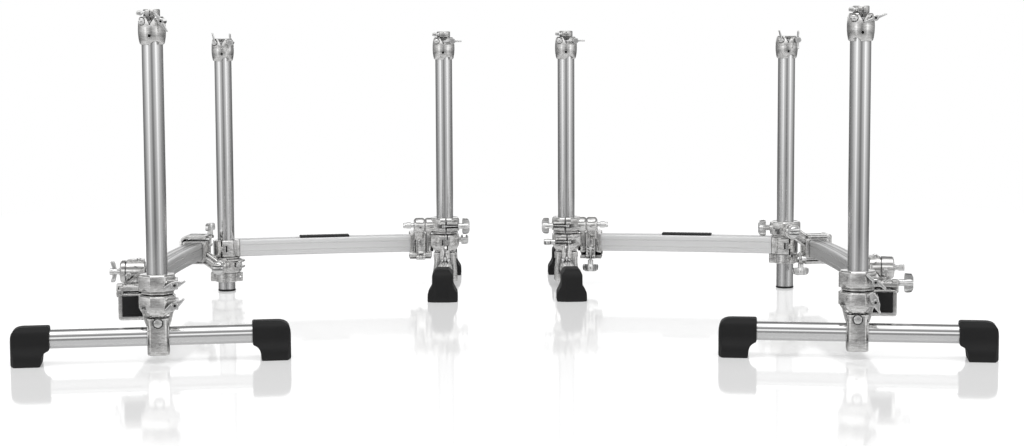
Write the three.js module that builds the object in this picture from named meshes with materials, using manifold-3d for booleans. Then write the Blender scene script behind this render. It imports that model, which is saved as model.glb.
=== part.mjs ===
// Drum rack frame: two free-standing halves, millimetres, +Z up, +X right, +Y away from the player.
// Each half has three uprights, a side bar, a front bar, clamps and two T legs.
import * as THREE from "three";
import { mergeVertices } from "three/addons/utils/BufferGeometryUtils.js";
import Module from "manifold-3d";

const wasm = await Module();
wasm.setup();

const degree = Math.PI / 180;

// Fits and cuts
const gap = 0.3;
const overrun = 2;

// Tubes and bars
const uprightRadius = 19.05;
const uprightWall = 1.6;
const footTubeRadius = 17.25;
const footTubeWall = 2;
const barSide = 38.1;
const barWall = 3;
const barBendRadius = 2900;

// Heights: the stack from the floor to the bars, and the tops of the uprights
const footTubeCentre = 46.3;
const pivotRise = 9.75;
const blockRise = 8.7;
const castingClearance = 2.5;
const castingHeight = 39.5;
const ringSpacing = 2;
const railDrop = 45.5;
const outerHeadTop = 627;
const backHeadTop = 573;

// Layout of one half, seen from above
const outerUprightOffset = 638;
const sideClampSpacing = 833.5;
const sideBarYaw = 8.6 * degree;
const frontClampReach = 446;
const frontBarYaw = 14.8 * degree;
const outerLegYaw = -8 * degree;
const leftSettings = { innerLegTurn: 0, outerFootSlide: 12 };
const rightSettings = { innerLegTurn: degree, outerFootSlide: 0 };
const barEndSetback = 28.5;
const railArmLength = 64.7;
const cornerRingOffset = 37;

// Upright heads and the collars above them
const headHeight = 50;
const headBottomRadius = 21.6;
const headWaistRadius = 24.9;
const headTopRadius = 22.2;
const headShoulder = 6.7;
const accessoryBoreRadius = 11.3;
const headHingeOffset = 16.5;
const headHingeRadius = 7;
const headHingeReach = 19.5;
const headBoltOffset = 21;
const headLugRadius = 6.5;
const headLugReach = 13;
const headSpotRadius = 7;
const headBoltDrop = 8.5;
const headSlotWidth = 2.4;
const headSlotDepth = 14;
const topLockHeight = 13;
const topLockRadius = 15;
const topLockBoltOffset = 8;
const topLockBoltRadius = 3.6;
const topLockBoltReach = 25;

// Wing nuts
const wingHubRadius = 6;
const wingHubWaist = 5;
const wingBoreRadius = 2.6;
const wingStandoff = 13.5;
const wingHubLength = 22;
const wingReach = 21;
const wingThickness = 4;
const studProud = 3;

// Ring clamps
const ringHalfWidth = 32;
const ringHeight = 35;
const ringChamfer = 3;
const ringLugInner = 15;
const ringLugOuter = 37;
const ringLugFront = 27;
const ringLugBack = 8;
const ringLugHeight = 18;
const railBoltOffset = 28;

// Arm and square clamp that hold a bar beside an upright
const hubRadius = 17.5;
const hubStart = 22;
const hubEnd = 71;
const hubSplit = 46.5;
const armWidth = 30;
const squareStart = 30.5;
const squareLength = 48.5;
const squareWall = 7;
const squareCorner = 5;
const gateBossRadius = 5;

// Ring that joins the front bar to the corner upright
const barRingRadius = 28;
const barRingNeck = 29;
const barSpigotLength = 34;

// Memory collar on the corner upright
const collarRadius = 25;
const collarHeight = 22;
const collarEarReach = 36;
const collarEarDepth = 11;

// Leg casting and its tongue
const funnelHeight = 12.5;
const funnelRadius = 24;
const legLugDrop = 16.5;
const seatFloor = 1.5;
const tongueHalfWidth = 24;
const tongueHalfThickness = 11;
const legTilt = 4 * degree;

// Foot block, pivot pin and rubber feet
const blockHalfWidth = 19.7;
const blockHalfDepth = 25;
const blockCorner = 5.2;
const blockBottom = 18;
const pinRadius = 5;
const pinHeadRadius = 9;
const pinHeadHeight = 1.4;
const footReach = 252;
const footTubeInset = 10;
const rubberLength = 70;
const rubberHeight = 71;
const rubberBaseHalf = 33;
const rubberWaistHalf = 22;
const rubberTopHalf = 13;
const rubberBaseRise = 14;
const rubberWaistRise = 33;
const rubberShoulderRise = 60;
const rubberCornerRadius = 22;
const rubberEdge = 4;
const rubberNotchWidth = 16;
const rubberNotchHeight = 29;
const rubberNotchBulgeShare = 0.8;

// Cap under the corner upright
const tubeCapRadius = 20.3;
const tubeCapHeight = 4;
const tubeCapPlug = 20;

// Heights that follow from the stack
const pivotHeight = footTubeCentre + footTubeRadius + pivotRise;
const blockTop = pivotHeight + blockRise;
const funnelBottom = blockTop + castingClearance;
const uprightSeat = funnelBottom + seatFloor;
const legRingTop = funnelBottom + castingHeight;
const railRingCentre = legRingTop + ringSpacing + ringHeight / 2;
const barCentre = railRingCentre - railDrop;

// Facet counts
const tubeFacets = 20;
const headFacets = 16;
const smallFacets = 12;
const ringFacets = 8;
const barSteps = 12;
const bendSegments = 3;

// Finishes
const finishes = {
  chrome: { color: 0xc9cacc, roughness: 0.16, metalness: 1 },
  casting: { color: 0xc4c4c3, roughness: 0.28, metalness: 1 },
  aluminium: { color: 0xd4d4d2, roughness: 0.38, metalness: 0.9 },
  rubber: { color: 0x1b1b1c, roughness: 0.75, metalness: 0 },
};

// Solids from three.js geometries
function solid(geometry) {
  const bare = new THREE.BufferGeometry();
  bare.setAttribute("position", geometry.getAttribute("position"));
  bare.setIndex(geometry.getIndex());
  const merged = mergeVertices(bare);
  const vertProperties = new Float32Array(merged.getAttribute("position").array);
  const triVerts = new Uint32Array(merged.getIndex().array);
  return new wasm.Manifold(new wasm.Mesh({ numProp: 3, vertProperties, triVerts }));
}

function geometryOf(body) {
  const { vertProperties, triVerts } = body.getMesh();
  const geometry = new THREE.BufferGeometry();
  geometry.setAttribute("position", new THREE.BufferAttribute(new Float32Array(vertProperties), 3));
  geometry.setIndex(new THREE.BufferAttribute(new Uint32Array(triVerts), 1));
  geometry.computeVertexNormals();
  return geometry;
}

// Turned shape about Z from [radius, height] points that go round the section
function turned(points, facets = tubeFacets) {
  const profile = points.map(([radius, height]) => new THREE.Vector2(radius, height));
  profile.push(profile[0].clone());
  const geometry = new THREE.LatheGeometry(profile, facets);
  geometry.rotateX(Math.PI / 2);
  geometry.rotateZ(Math.PI / facets);
  return solid(geometry);
}

// Turned shape whose flats, not its corners, lie at the given radii
function flatSided(points, facets = ringFacets) {
  const corner = 1 / Math.cos(Math.PI / facets);
  return turned(points.map(([radius, height]) => [radius * corner, height]), facets);
}

function rod(radius, from, to, facets = smallFacets) {
  return turned([[0, from], [radius, from], [radius, to], [0, to]], facets);
}

function alongX(body) {
  return body.rotate([0, 90, 0]);
}

function alongY(body) {
  return body.rotate([-90, 0, 0]);
}

function joined(bodies) {
  return bodies.reduce((whole, body) => whole.add(body));
}

function pipe(outer, inner, from, to) {
  return turned([[inner, from], [outer, from], [outer, to], [inner, to]]);
}

function block(x0, x1, y0, y1, z0, z1) {
  const geometry = new THREE.BoxGeometry(x1 - x0, y1 - y0, z1 - z0);
  geometry.translate((x0 + x1) / 2, (y0 + y1) / 2, (z0 + z1) / 2);
  return solid(geometry);
}

// Flat outline in X and Y, raised from one height to another
function raised(shape, from, to, segments = bendSegments) {
  const geometry = new THREE.ExtrudeGeometry(shape, {
    depth: to - from,
    bevelEnabled: false,
    curveSegments: segments,
  });
  geometry.translate(0, 0, from);
  return solid(geometry);
}

function outline(points) {
  return new THREE.Shape(points.map(([x, y]) => new THREE.Vector2(x, y)));
}

function cutCornerRectangle(halfX, halfY, cut) {
  return outline([
    [halfX, -halfY + cut], [halfX, halfY - cut], [halfX - cut, halfY], [-halfX + cut, halfY],
    [-halfX, halfY - cut], [-halfX, -halfY + cut], [-halfX + cut, -halfY], [halfX - cut, -halfY],
  ]);
}

// Outline drawn in X and height, with its thickness along Y
function standing(shape, from, to, segments) {
  return raised(shape, -to, -from, segments).rotate([90, 0, 0]);
}

// Upright head: barrel on the tube's top with a hinge boss, a bolt lug and a clamping slot
function headSolid() {
  const seat = -headShoulder;
  const barrel = turned([
    [0, -headHeight], [headBottomRadius, -headHeight],
    [(headBottomRadius + 2 * headWaistRadius) / 3, -headHeight * 3 / 4],
    [headWaistRadius, -headHeight / 2],
    [(headTopRadius + 2 * headWaistRadius) / 3, -headHeight / 4],
    [headTopRadius, 0], [0, 0],
  ], headFacets);
  const hinge = alongY(rod(headHingeRadius, -headHingeReach, headHingeReach));
  const lug = alongY(rod(headLugRadius, -headLugReach, headLugReach));
  const slotHalf = headSlotWidth / 2;
  const slotFront = -headWaistRadius - overrun;
  const slot = block(-slotHalf, slotHalf, slotFront, 0, -headSlotDepth, overrun);
  const tubeBore = rod(uprightRadius + gap, -headHeight - overrun, seat, tubeFacets);
  const accessoryBore = rod(accessoryBoreRadius, seat - overrun, overrun, tubeFacets);
  const spotFace = alongY(rod(headSpotRadius, slotFront, -headLugReach));
  return barrel
    .add(hinge.translate([-headHingeOffset, 0, -headBoltDrop]))
    .add(lug.translate([headBoltOffset, 0, -headBoltDrop]))
    .subtract(spotFace.translate([headBoltOffset, 0, -headBoltDrop]))
    .add(wingStud().translate([headBoltOffset, -headLugReach, -headBoltDrop]))
    .subtract(slot)
    .subtract(tubeBore)
    .subtract(accessoryBore);
}

// Small split collar that stands on a head and grips the accessory tube
function topLockSolid() {
  const middle = topLockHeight / 2;
  const ring = turned([[0, 0], [topLockRadius, 0], [topLockRadius, topLockHeight], [0, topLockHeight]],
    headFacets);
  const bolt = alongX(rod(topLockBoltRadius, -topLockBoltReach, -topLockBoltOffset));
  const slotHalf = headSlotWidth / 2;
  const split = block(-slotHalf, slotHalf, -topLockRadius - overrun, 0, -overrun, topLockHeight + overrun);
  return ring
    .add(bolt.translate([0, -topLockBoltOffset, middle]))
    .subtract(split)
    .subtract(rod(accessoryBoreRadius, -overrun, topLockHeight + overrun, tubeFacets));
}

// Threaded stud that carries a wing nut, standing on a seat at the origin towards the player
function wingStud() {
  return alongY(rod(wingBoreRadius - gap, -gap - wingHubLength - studProud, overrun, ringFacets));
}

// Wing nut with its bore along Y, seat at the origin and wings towards the player
function wingNutSolid() {
  const ear = new THREE.Shape();
  ear.moveTo(0, wingStandoff);
  ear.lineTo(wingReach * 2 / 3, wingStandoff);
  ear.quadraticCurveTo(wingReach, wingStandoff, wingReach, (wingStandoff + wingHubLength) / 2);
  ear.quadraticCurveTo(wingReach, wingHubLength, wingReach * 2 / 3, wingHubLength);
  ear.lineTo(0, wingHubLength - wingThickness / 2);
  const wing = raised(ear, -wingThickness / 2, wingThickness / 2);
  const wings = wing.add(wing.rotate([0, 180, 0])).rotate([180, 0, 0]);
  const hub = turned([
    [0, 0], [wingHubRadius, 0], [wingHubWaist, wingStandoff], [wingHubRadius, wingHubLength], [0, wingHubLength],
  ], smallFacets).rotate([90, 0, 0]);
  const bore = rod(wingBoreRadius, -wingHubLength - overrun, overrun, ringFacets).rotate([-90, 0, 0]);
  return hub.add(wings).subtract(bore);
}

// Lug at the front of a ring clamp, on one side, where its swing bolt and wing nut sit
function ringLug(side) {
  const half = ringLugHeight / 2;
  const lug = block(ringLugInner, ringLugOuter, -ringLugFront, -ringLugBack, -half, half);
  return side < 0 ? lug.mirror([1, 0, 0]) : lug;
}

function octagonRing(bottom, top) {
  const inset = ringHalfWidth - ringChamfer;
  return flatSided([
    [0, bottom], [inset, bottom], [ringHalfWidth, bottom + ringChamfer],
    [ringHalfWidth, top - ringChamfer], [inset, top], [0, top],
  ]);
}

function uprightBore(from, to) {
  return rod(uprightRadius + gap, from, to, tubeFacets);
}

function armReach(drop) {
  return Math.sqrt(railArmLength ** 2 - drop ** 2);
}

// Rail clamp: ring on the upright, tilter hub along +Y, arm, and square clamp round the bar.
// The ring's middle is at the origin; the bar lies towards +X, lower by the drop.
function railClampSolid(drop, lugSide) {
  const sideways = armReach(drop);
  const squareEnd = squareStart + squareLength;
  const outer = barSide / 2 + squareWall;
  const inner = barSide / 2 + gap;
  const half = ringHeight / 2;
  const armHalf = armWidth / 2;
  const armLean = Math.atan2(drop, sideways) / degree;
  const arm = block(0, railArmLength - outer, hubSplit, hubEnd, -armHalf, armHalf);
  const frame = standing(cutCornerRectangle(outer, outer, squareCorner), squareStart, squareEnd);
  const boss = alongY(rod(gateBossRadius, squareStart, squareEnd));
  const bossCentre = outer - gateBossRadius / 2;
  const window = block(-inner, inner, squareStart - overrun, squareEnd + overrun, -inner, inner);
  const parts = [
    octagonRing(-half, half),
    alongY(rod(hubRadius, hubStart, hubEnd, tubeFacets)),
    arm.rotate([0, armLean, 0]),
    frame.translate([sideways, 0, -drop]),
    boss.translate([sideways + bossCentre, 0, bossCentre - drop]),
  ];
  if (lugSide !== 0) {
    parts.push(ringLug(lugSide));
    parts.push(wingStud().translate([lugSide * railBoltOffset, -ringLugFront, 0]));
  }
  return joined(parts)
    .subtract(window.translate([sideways, 0, -drop]))
    .subtract(uprightBore(-half - overrun, half + overrun));
}

// Square tube bent to one radius in plan: it leaves the origin along +Y and curves towards -X
function barSector(halfWidth, from, to) {
  const near = barBendRadius - halfWidth;
  const far = barBendRadius + halfWidth;
  const shape = new THREE.Shape();
  shape.absarc(0, 0, far, from / barBendRadius, to / barBendRadius, false);
  shape.absarc(0, 0, near, to / barBendRadius, from / barBendRadius, true);
  return raised(shape, -halfWidth, halfWidth, barSteps).translate([-barBendRadius, 0, 0]);
}

function barSolid(from, to) {
  const half = barSide / 2;
  const hollow = barSector(half - barWall, from - overrun, to + overrun);
  return barSector(half, from, to).subtract(hollow);
}

// Ring on the corner upright with a neck and a spigot that carry the front bar along +Y
function barRingSolid() {
  const half = barSide / 2;
  const spigotEnd = barRingNeck + barSpigotLength;
  const bendDrift = spigotEnd ** 2 / (2 * barBendRadius);
  const spigotHalf = half - barWall - bendDrift - gap;
  return joined([
    flatSided([[0, -half], [barRingRadius, -half], [barRingRadius, half], [0, half]]),
    block(-half, half, 0, barRingNeck, -half, half),
    block(-spigotHalf, spigotHalf, 0, spigotEnd, -spigotHalf, spigotHalf),
  ]).subtract(uprightBore(-half - overrun, half + overrun));
}

// Memory collar with an ear on each side, hanging below the origin
function collarSolid() {
  const ear = collarEarDepth / 2;
  const ring = rod(collarRadius, -collarHeight, 0, headFacets);
  const ears = block(-collarEarReach, collarEarReach, -ear, ear, -collarHeight, 0);
  return ring.add(ears).subtract(uprightBore(-collarHeight - overrun, overrun));
}

// Leg casting: octagon ring, funnel below it, and a tongue that hangs in the foot block
function legCastingSolid(lugSide) {
  const tongueDrop = pivotHeight - footTubeCentre - footTubeRadius - 2 * gap;
  const edgeDrop = tongueDrop - tongueHalfWidth * Math.tan(legTilt);
  const funnelStart = funnelBottom + funnelHeight;
  const inset = ringHalfWidth - ringChamfer;
  const body = flatSided([
    [0, funnelBottom], [funnelRadius, funnelBottom], [ringHalfWidth, funnelStart],
    [ringHalfWidth, legRingTop - ringChamfer], [inset, legRingTop], [0, legRingTop],
  ]);
  const tongue = standing(outline([
    [-tongueHalfWidth, pivotHeight - edgeDrop], [0, pivotHeight - tongueDrop],
    [tongueHalfWidth, pivotHeight - edgeDrop], [tongueHalfWidth, funnelStart], [-tongueHalfWidth, funnelStart],
  ]), -tongueHalfThickness, tongueHalfThickness);
  const pinHole = alongY(rod(pinRadius + gap, -ringHalfWidth, ringHalfWidth));
  return joined([body, tongue, ringLug(lugSide).translate([0, 0, legRingTop - legLugDrop])])
    .subtract(pinHole.translate([0, 0, pivotHeight]))
    .subtract(uprightBore(uprightSeat, legRingTop + overrun));
}

// Foot block: grips the foot tube along X, and its two cheeks hold the tongue on the pivot pin.
// The origin is on the pin.
function footBlockSolid() {
  const bottom = blockBottom - pivotHeight;
  const top = blockTop - pivotHeight;
  const tubeHeight = footTubeCentre - pivotHeight;
  const cheek = tongueHalfThickness + gap;
  const side = blockHalfWidth + overrun;
  const body = raised(cutCornerRectangle(blockHalfWidth, blockHalfDepth, blockCorner), bottom, top);
  const slot = block(-side, side, -cheek, cheek, tubeHeight, top + overrun);
  const tubeBore = alongX(rod(footTubeRadius + gap, -side, side, tubeFacets));
  const pin = alongY(rod(pinRadius, -blockHalfDepth, blockHalfDepth));
  const head = alongY(rod(pinHeadRadius, -blockHalfDepth - pinHeadHeight, -blockHalfDepth));
  return joined([body.subtract(slot).subtract(tubeBore.translate([0, 0, tubeHeight])), pin, head]);
}

// Rubber foot on the tube's +X end: side outline and end outline crossed, with a blind socket
function rubberSolid() {
  const inner = footReach - rubberLength;
  const tip = footReach;
  const side = new THREE.Shape();
  side.moveTo(inner + rubberNotchWidth, 0);
  side.lineTo(tip - rubberEdge, 0);
  side.lineTo(tip, rubberEdge);
  side.lineTo(tip, rubberHeight - rubberCornerRadius);
  side.quadraticCurveTo(tip, rubberHeight, tip - rubberCornerRadius, rubberHeight);
  side.lineTo(inner + rubberEdge, rubberHeight);
  side.lineTo(inner, rubberHeight - rubberEdge);
  side.lineTo(inner, rubberNotchHeight);
  const notchBulge = rubberNotchWidth * rubberNotchBulgeShare;
  const notchShoulder = rubberNotchHeight * rubberNotchBulgeShare;
  side.quadraticCurveTo(inner + notchBulge, notchShoulder, inner + rubberNotchWidth, 0);
  const end = outline([
    [rubberBaseHalf, 0], [rubberBaseHalf, rubberBaseRise], [rubberWaistHalf, rubberWaistRise],
    [rubberWaistHalf - gap, rubberShoulderRise], [rubberTopHalf, rubberHeight],
    [-rubberTopHalf, rubberHeight], [-rubberWaistHalf + gap, rubberShoulderRise],
    [-rubberWaistHalf, rubberWaistRise], [-rubberBaseHalf, rubberBaseRise], [-rubberBaseHalf, 0],
  ]);
  const across = standing(side, -rubberBaseHalf, rubberBaseHalf);
  const along = standing(end, inner - overrun, tip + overrun).rotate([0, 0, -90]);
  const socket = alongX(rod(footTubeRadius + gap, inner - overrun, tip - footTubeInset, tubeFacets));
  return across.intersect(along)
    .subtract(socket.translate([0, 0, footTubeCentre]))
    .translate([0, 0, -pivotHeight]);
}

// Assembly
function group(parent, { x = 0, y = 0, z = 0, yaw = 0, flipX = 1, flipZ = 1 }) {
  const child = new THREE.Group();
  child.position.set(x, y, z);
  child.rotation.z = yaw;
  child.scale.set(flipX, 1, flipZ);
  parent.add(child);
  return child;
}

function piece(parent, name, body, finish) {
  const mesh = new THREE.Mesh(geometryOf(body), new THREE.MeshStandardMaterial(finishes[finish]));
  mesh.name = name;
  parent.add(mesh);
}

function addUpright(post, name, bottom, headTop, side, lock) {
  const tubeTop = headTop - headShoulder - gap;
  const top = group(post, { z: headTop, flipX: side });
  const bolt = group(top, { x: headBoltOffset, y: -headLugReach - gap, z: -headBoltDrop });
  piece(post, `${name}_upright`, pipe(uprightRadius, uprightRadius - uprightWall, bottom, tubeTop), "chrome");
  piece(top, `${name}_head`, headSolid(), "casting");
  piece(bolt, `${name}_head_wing`, wingNutSolid(), "chrome");
  if (lock) piece(group(top, { z: gap }), `${name}_memory_lock`, topLockSolid(), "casting");
}

function addLeg(post, name, yaw, lugSide, ends, slide = 0) {
  const leg = group(post, { yaw });
  const foot = group(leg, { z: pivotHeight });
  const slid = group(foot, { x: slide });
  const tubeEnd = footReach - footTubeInset - gap;
  const tube = alongX(pipe(footTubeRadius, footTubeRadius - footTubeWall, -tubeEnd, tubeEnd));
  piece(leg, `${name}_leg_casting`, legCastingSolid(lugSide), "casting");
  piece(foot, `${name}_foot_block`, footBlockSolid(), "casting");
  piece(slid, `${name}_foot_tube`, tube.translate([0, 0, footTubeCentre - pivotHeight]), "chrome");
  piece(slid, `${name}_foot_rubber_${ends[0]}`, rubberSolid(), "rubber");
  piece(group(slid, { yaw: Math.PI }), `${name}_foot_rubber_${ends[1]}`, rubberSolid(), "rubber");
}

function addRailClamp(post, name, { yaw, centre, drop, lugSide, flipX, flipZ }) {
  const clamp = group(post, { z: centre, yaw, flipX, flipZ });
  piece(clamp, `${name}_rail_clamp`, railClampSolid(drop, lugSide), "casting");
  return clamp;
}

// Plan position of a point on a bent bar that starts at a place with a heading
function alongBar(start, yaw, length) {
  const turn = length / barBendRadius;
  const local = [barBendRadius * (Math.cos(turn) - 1), barBendRadius * Math.sin(turn)];
  const offset = turnedPoint(yaw, local);
  return { x: start.x + offset.x, y: start.y + offset.y, yaw: yaw + turn };
}

function turnedPoint(yaw, [x, y]) {
  return new THREE.Vector2(x, y).rotateAround(new THREE.Vector2(), yaw);
}

function shifted(start, yaw, point) {
  const offset = turnedPoint(yaw, point);
  return { x: start.x + offset.x, y: start.y + offset.y };
}

const squareMiddle = squareStart + squareLength / 2;
const barOverhang = squareMiddle - barEndSetback;

// Both halves share one drawing: the left one is the mirror image of the right one, apart from
// the heads and wing nuts, which are the same castings, the corner clamp, which is turned over,
// and the settings of the legs
function addHalf(rack, name, side, { innerLegTurn, outerFootSlide }) {
  const half = group(rack, { flipX: side });

  const outerSpot = { x: outerUprightOffset, y: 0 };
  const outer = group(half, outerSpot);
  addUpright(outer, `${name}_outer`, uprightSeat + gap, outerHeadTop, side, true);
  addLeg(outer, `${name}_outer`, outerLegYaw, side, ["outboard", "inboard"], outerFootSlide);
  const outerClamp = addRailClamp(outer, `${name}_outer`, {
    yaw: -sideBarYaw, centre: railRingCentre, drop: railDrop, lugSide: side,
  });
  const railBolt = { x: side * railBoltOffset, y: -ringLugFront - gap, flipX: side };
  piece(group(outerClamp, railBolt), `${name}_outer_rail_wing`, wingNutSolid(), "chrome");

  const sideStart = shifted(outerSpot, -sideBarYaw, [armReach(railDrop), squareMiddle]);
  const sideBar = group(half, { ...sideStart, z: barCentre, yaw: -sideBarYaw });
  piece(sideBar, `${name}_side_bar`, barSolid(-barOverhang, sideClampSpacing + barOverhang), "aluminium");

  const sideEnd = alongBar(sideStart, -sideBarYaw, sideClampSpacing);
  const cornerSpot = shifted(sideEnd, sideEnd.yaw, [-armReach(cornerRingOffset), squareMiddle]);
  const corner = group(half, cornerSpot);
  const cornerCap = [[0, 0], [tubeCapRadius, 0], [tubeCapRadius, tubeCapHeight],
    [uprightRadius - uprightWall - gap, tubeCapHeight],
    [uprightRadius - uprightWall - gap, tubeCapHeight + tubeCapPlug], [0, tubeCapHeight + tubeCapPlug]];
  addUpright(corner, `${name}_corner`, tubeCapHeight + gap, backHeadTop, side, false);
  piece(corner, `${name}_corner_tube_cap`, turned(cornerCap), "rubber");
  addRailClamp(corner, `${name}_corner`, {
    yaw: sideEnd.yaw + Math.PI, centre: barCentre + side * cornerRingOffset, drop: cornerRingOffset,
    lugSide: 0, flipX: -1, flipZ: side,
  });
  const underBarRing = barCentre - barSide / 2;
  const underRailRing = barCentre - cornerRingOffset - ringHeight / 2;
  const collarTop = (side > 0 ? underBarRing : underRailRing) - gap;
  piece(group(corner, { z: collarTop }), `${name}_corner_memory_collar`, collarSolid(), "casting");

  const frontYaw = Math.PI / 2 - frontBarYaw;
  const frontBar = group(half, { ...cornerSpot, z: barCentre, yaw: frontYaw });
  piece(frontBar, `${name}_corner_bar_ring`, barRingSolid(), "casting");
  piece(frontBar, `${name}_front_bar`, barSolid(barRingNeck + gap, frontClampReach + barOverhang), "aluminium");

  const frontEnd = alongBar(cornerSpot, frontYaw, frontClampReach);
  const innerSpot = shifted(frontEnd, frontEnd.yaw, [-armReach(railDrop), squareMiddle]);
  const inner = group(half, innerSpot);
  addUpright(inner, `${name}_inner`, uprightSeat + gap, backHeadTop, side, true);
  addLeg(inner, `${name}_inner`, innerLegTurn - Math.PI / 2, 1, ["front", "rear"]);
  addRailClamp(inner, `${name}_inner`, {
    yaw: frontEnd.yaw + Math.PI, centre: railRingCentre, drop: railDrop, lugSide: -1, flipX: -1,
  });
}

// The origin is on the floor, under the middle of the pair
const rack = new THREE.Group();
addHalf(rack, "left", -1, leftSettings);
addHalf(rack, "right", 1, rightSettings);
const extent = new THREE.Box3().setFromObject(rack);
rack.position.set(-(extent.min.x + extent.max.x) / 2, -(extent.min.y + extent.max.y) / 2, -extent.min.z);

export default rack;
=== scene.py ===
# Drum rack frame: the looks of its two mirrored halves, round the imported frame.
# Shapes are modelled in millimetres in each casting's own frame, then placed in metres.
from math import atan2, cos, degrees, pi, radians, sin, sqrt

import bpy
from mathutils import Matrix, Vector


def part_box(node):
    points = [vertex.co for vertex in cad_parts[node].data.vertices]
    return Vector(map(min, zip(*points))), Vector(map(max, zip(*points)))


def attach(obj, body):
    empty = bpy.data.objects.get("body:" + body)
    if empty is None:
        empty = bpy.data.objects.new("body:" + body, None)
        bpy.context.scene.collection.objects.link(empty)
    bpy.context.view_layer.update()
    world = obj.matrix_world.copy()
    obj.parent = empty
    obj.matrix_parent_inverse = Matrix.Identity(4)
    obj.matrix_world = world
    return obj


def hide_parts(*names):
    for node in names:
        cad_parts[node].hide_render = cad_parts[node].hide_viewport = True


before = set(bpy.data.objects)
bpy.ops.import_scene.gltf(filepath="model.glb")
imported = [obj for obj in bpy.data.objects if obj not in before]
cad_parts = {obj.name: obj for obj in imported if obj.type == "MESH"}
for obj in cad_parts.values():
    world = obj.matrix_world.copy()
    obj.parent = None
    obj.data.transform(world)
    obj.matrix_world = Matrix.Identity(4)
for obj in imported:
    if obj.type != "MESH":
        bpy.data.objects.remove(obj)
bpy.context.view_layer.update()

MM = 0.001

# Sides of round forms: tubes and bores, large turned forms, small ones
FINE = 96
ROUND = 64
SMALL = 28

# Tubes and bars, in millimetres; the bars' ends are arc lengths along their bend
TUBE_RADIUS = 19.05
TUBE_WALL = 1.6
BORE = TUBE_RADIUS + 0.25
FOOT_TUBE_RADIUS = 17.25
FOOT_TUBE_WALL = 2
FOOT_TUBE_CENTRE = 46.3
FOOT_REACH = 252
BAR_HALF = 19.05
BAR_WALL = 3
BEND_RADIUS = 2900
SIDE_BAR_ENDS = (-26.25, 859.75)
FRONT_BAR_ENDS = (29.3, 470.5)
CAP_LIP = 1
FREE_CAP_LIP = 5.4

# Rings and legs: a bolt lies LUG_BOLT out, and its nut sits LUG_SEAT or LEG_LUG_SEAT from the bolt's pin
RING_HALF = 17.5
RING_FLAT = 32
SPLIT = 1.3
SEAM = 0.35
LUG_BOLT = 31
BOLT_RADIUS = 2.6
BOLT_SLOT = 4.4
LUG_SEAT = 32.3
LEG_LUG_SEAT = 31.6
PADDLE_SEAT = 10
LUG_NAMES = ("swing_bolt", "nut")
GATE_NAMES = ("gate_bolt", "gate_nut")
STUB_BOLT = 26
SHORT_BOLT = 34
GATE_BOLT = 44
PADDLE_BOLT = 55
LEG_RING_TOP = 124
LEG_RING_FOOT = 84.5
LEG_BOLT = 106.5
PIVOT_HEIGHT = 73.3

# Heads of the uprights: heights of their tops, then places below a top
HEAD_TOP = {"outer": 627, "corner": 573, "inner": 573}
HEAD_HEIGHT = 50
HEAD_SHOULDER = 6.7
HEAD_BOSS = -15.6
HEAD_BOLT = -8.5
HEAD_HOLE = -34
HEAD_SCALLOP = 9
RIGHT_OUTER_SCALLOP = -12
HEAD_NUT_TURN = {"left_outer": 58, "right_outer": -20, "left_corner": 90, "right_corner": 90}
WING_COLLAR = 4.8
SOCKET = 11.3
LOCK_BOLT = (0, -15.2, 6.5)

# Square clamps: half of the window and of the frame, the frame's end where a gate rests, the flanges' reach,
# then the places of frame and hub along Y, the arm, and the hinges of the gates
SQUARE_INNER = BAR_HALF + 0.3
SQUARE_OUTER = BAR_HALF + 7
SQUARE_REST = 22.9
FLANGE = 24.2
SQUARE_MIDDLE = 54.75
HUB_END = 71
ARM_LENGTH = 64.7
GATE_HINGE = (-23, 0, 24.7)
HOOK_HINGE = (27, 0, 25.2)

# Layout of one half, seen from above
SIDE_BAR_YAW = radians(8.6)
FRONT_BAR_YAW = radians(14.8)
SIDE_CLAMP_SPACING = 833.5
FRONT_CLAMP_REACH = 446
OUTER_LEG_YAW = radians(-8)
INNER_LEG_YAW = {"left": radians(-90), "right": radians(-89)}
OUTER_FOOT_SLIDE = {"left": 12, "right": 0}
RING_CENTRE = 143.5
BAR_CENTRE = 98
RAIL_DROP = 45.5
CORNER_DROP = 37
PAD_PLACE = 225
ACCESSORY_PLACE = 150
ACCESSORY_AXIS = 42


# Modelling tools: each leaves one piece in object mode with its shape in its mesh

def activate(piece):
    bpy.ops.object.select_all(action="DESELECT")
    piece.select_set(True)
    bpy.context.view_layer.objects.active = piece
    return piece


def settle():
    bpy.ops.object.transform_apply(location=True, rotation=True, scale=True)


def open_edit():
    bpy.ops.object.mode_set(mode="EDIT")
    bpy.ops.mesh.select_mode(type="VERT")
    bpy.ops.mesh.select_all(action="SELECT")


def close_edit(weld=False):
    bpy.ops.mesh.select_all(action="SELECT")
    if weld:
        bpy.ops.mesh.remove_doubles(threshold=0.001)
    bpy.ops.mesh.normals_make_consistent(inside=False)
    bpy.ops.object.mode_set(mode="OBJECT")
    return bpy.context.object


def lift_ring(height, grow_x, grow_y):
    """Extrudes what is selected up by a height and resizes it round the Z axis."""
    bpy.ops.mesh.extrude_region_move(TRANSFORM_OT_translate={"value": (0, 0, height)})
    bpy.ops.transform.resize(value=(grow_x, grow_y, 1), center_override=(0, 0, 0))


def turned(points, sides=ROUND, closed=False):
    """Turned on Z through [radius, height] points: solid between end faces, or a closed section."""
    radius, height = points[0]
    bpy.ops.mesh.primitive_circle_add(vertices=sides, radius=radius, location=(0, 0, height),
                                      rotation=(0, 0, pi / sides), fill_type="NOTHING" if closed else "NGON")
    settle()
    open_edit()
    for wider, higher in points[1:] + points[:1] * closed:
        lift_ring(higher - height, wider / radius, wider / radius)
        radius, height = wider, higher
    return close_edit(weld=closed)


def flats(points):
    """An octagon turned through points whose radius is measured to its flats."""
    corner = 1 / cos(pi / 8)
    return turned([(radius * corner, height) for radius, height in points], sides=8)


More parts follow.
